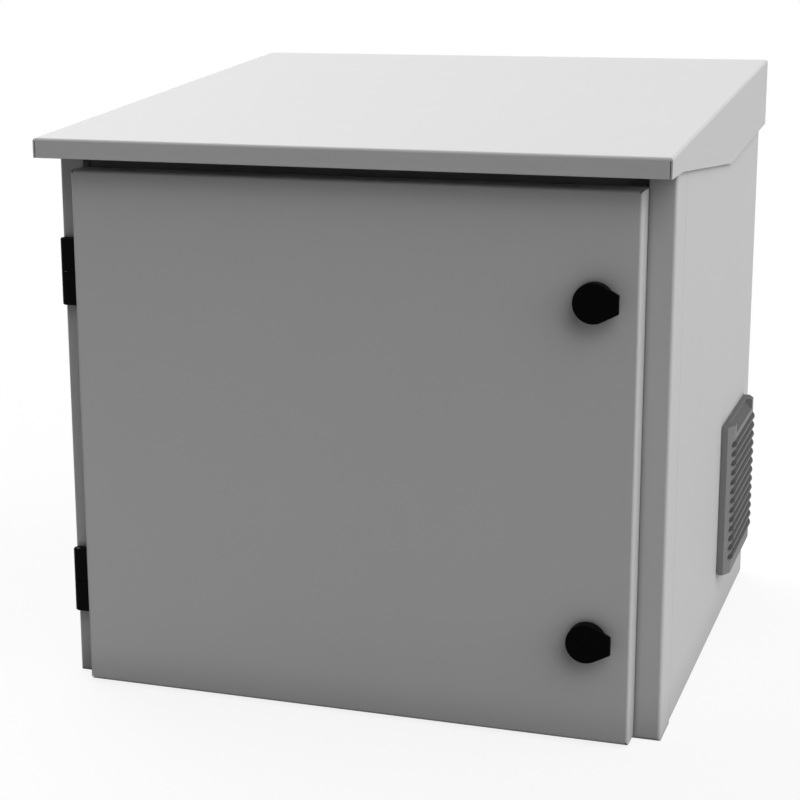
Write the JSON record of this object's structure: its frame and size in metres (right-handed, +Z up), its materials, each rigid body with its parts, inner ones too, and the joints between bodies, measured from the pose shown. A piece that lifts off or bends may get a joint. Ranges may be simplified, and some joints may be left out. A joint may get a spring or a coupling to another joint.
{
  "type": "roadside utility cabinet",
  "caption": "Outdoor utility cabinet in folded sheet steel with a sloping rain roof, a lockable door, a louvred fan vent and rack rails inside.",
  "frame": {"origin": "middle of the four base fixing holes, on the surface the cabinet stands on", "axes": "+Z up; -Y out of the door side; +X to the right of a person who faces the door"},
  "size_m": [0.6186, 0.603, 0.5997],
  "materials": {
    "cabinet_paint": "light grey powder coat",
    "vent_plastic": "mid grey moulded plastic, matt",
    "hinge_black": "black powder coat on die-cast metal",
    "knob_plastic": "black moulded plastic",
    "fan_plastic": "black moulded plastic",
    "rubber": "black foam and sheet rubber",
    "filter_fibre": "white fibre mat",
    "lock_metal": "black coated die-cast metal",
    "zinc_sheet": "zinc-coated sheet steel",
    "fastener_steel": "zinc-plated steel"
  },
  "bodies": {
    "cabinet": {"body_shell": "cabinet_paint", "cable_grommets": "rubber", "earth_nuts": "fastener_steel", "earth_stud": "fastener_steel", "fan_housing": "fan_plastic", "fan_screws": "fastener_steel", "filter_mat": "filter_fibre", "finger_guard": "fastener_steel", "floor_plate": "zinc_sheet", "frame_rivets": "fastener_steel", "front_frame": "cabinet_paint", "gland_plate": "zinc_sheet", "gland_plate_gasket": "rubber", "gland_plate_screws": "fastener_steel", "hinge_frame_screws": "fastener_steel", "left_lower_support_rail": "zinc_sheet", "left_rack_rail": "zinc_sheet", "left_upper_support_rail": "zinc_sheet", "lower_hinge_frame_half": "hinge_black", "lower_hinge_pin": "fastener_steel", "rack_rail_screws": "fastener_steel", "right_lower_support_rail": "zinc_sheet", "right_rack_rail": "zinc_sheet", "right_upper_support_rail": "zinc_sheet", "roof_bolts": "fastener_steel", "roof_canopy": "cabinet_paint", "roof_front_bracket": "zinc_sheet", "roof_nuts": "fastener_steel", "roof_rear_bracket": "zinc_sheet", "top_plate": "zinc_sheet", "upper_hinge_frame_half": "hinge_black", "upper_hinge_pin": "fastener_steel", "vent_frame": "vent_plastic"},
    "door": {"door_panel": "cabinet_paint", "door_gasket": "rubber", "door_stiffener": "zinc_sheet", "hinge_door_screws": "fastener_steel", "lock_nuts": "fastener_steel", "lower_hinge_door_half": "hinge_black", "lower_lock_housing": "lock_metal", "upper_hinge_door_half": "hinge_black", "upper_lock_housing": "lock_metal"},
    "upper_lock": {"upper_lock_knob": "knob_plastic", "upper_lock_cam": "fastener_steel", "upper_lock_cam_screw": "fastener_steel"},
    "lower_lock": {"lower_lock_knob": "knob_plastic", "lower_lock_cam": "fastener_steel", "lower_lock_cam_screw": "fastener_steel"},
    "vent_cover": {"vent_cover": "vent_plastic"},
    "fan": {"fan_rotor": "fan_plastic"}
  },
  "joints": [
    {"name": "door_hinge", "type": "hinge", "parent": "cabinet", "child": "door", "pos_m": [-0.29455, -0.26915, 0.2582], "axis": [0, 0, -1], "range_deg": [0, 180]},
    {"name": "upper_lock_turn", "type": "hinge", "parent": "door", "child": "upper_lock", "pos_m": [0.235, -0.291, 0.418], "axis": [0, 1, 0], "range_deg": [0, 90]},
    {"name": "lower_lock_turn", "type": "hinge", "parent": "door", "child": "lower_lock", "pos_m": [0.235, -0.291, 0.103], "axis": [0, 1, 0], "range_deg": [0, 90]},
    {"name": "vent_cover_hinge", "type": "hinge", "parent": "cabinet", "child": "vent_cover", "pos_m": [0.3037, 0.1435, 0.0634], "axis": [0, 1, 0], "range_deg": [0, 70]},
    {"name": "fan_spin", "type": "hinge", "parent": "cabinet", "child": "fan", "pos_m": [0.271, 0.1435, 0.1425], "axis": [1, 0, 0], "continuous": true}
  ]
}
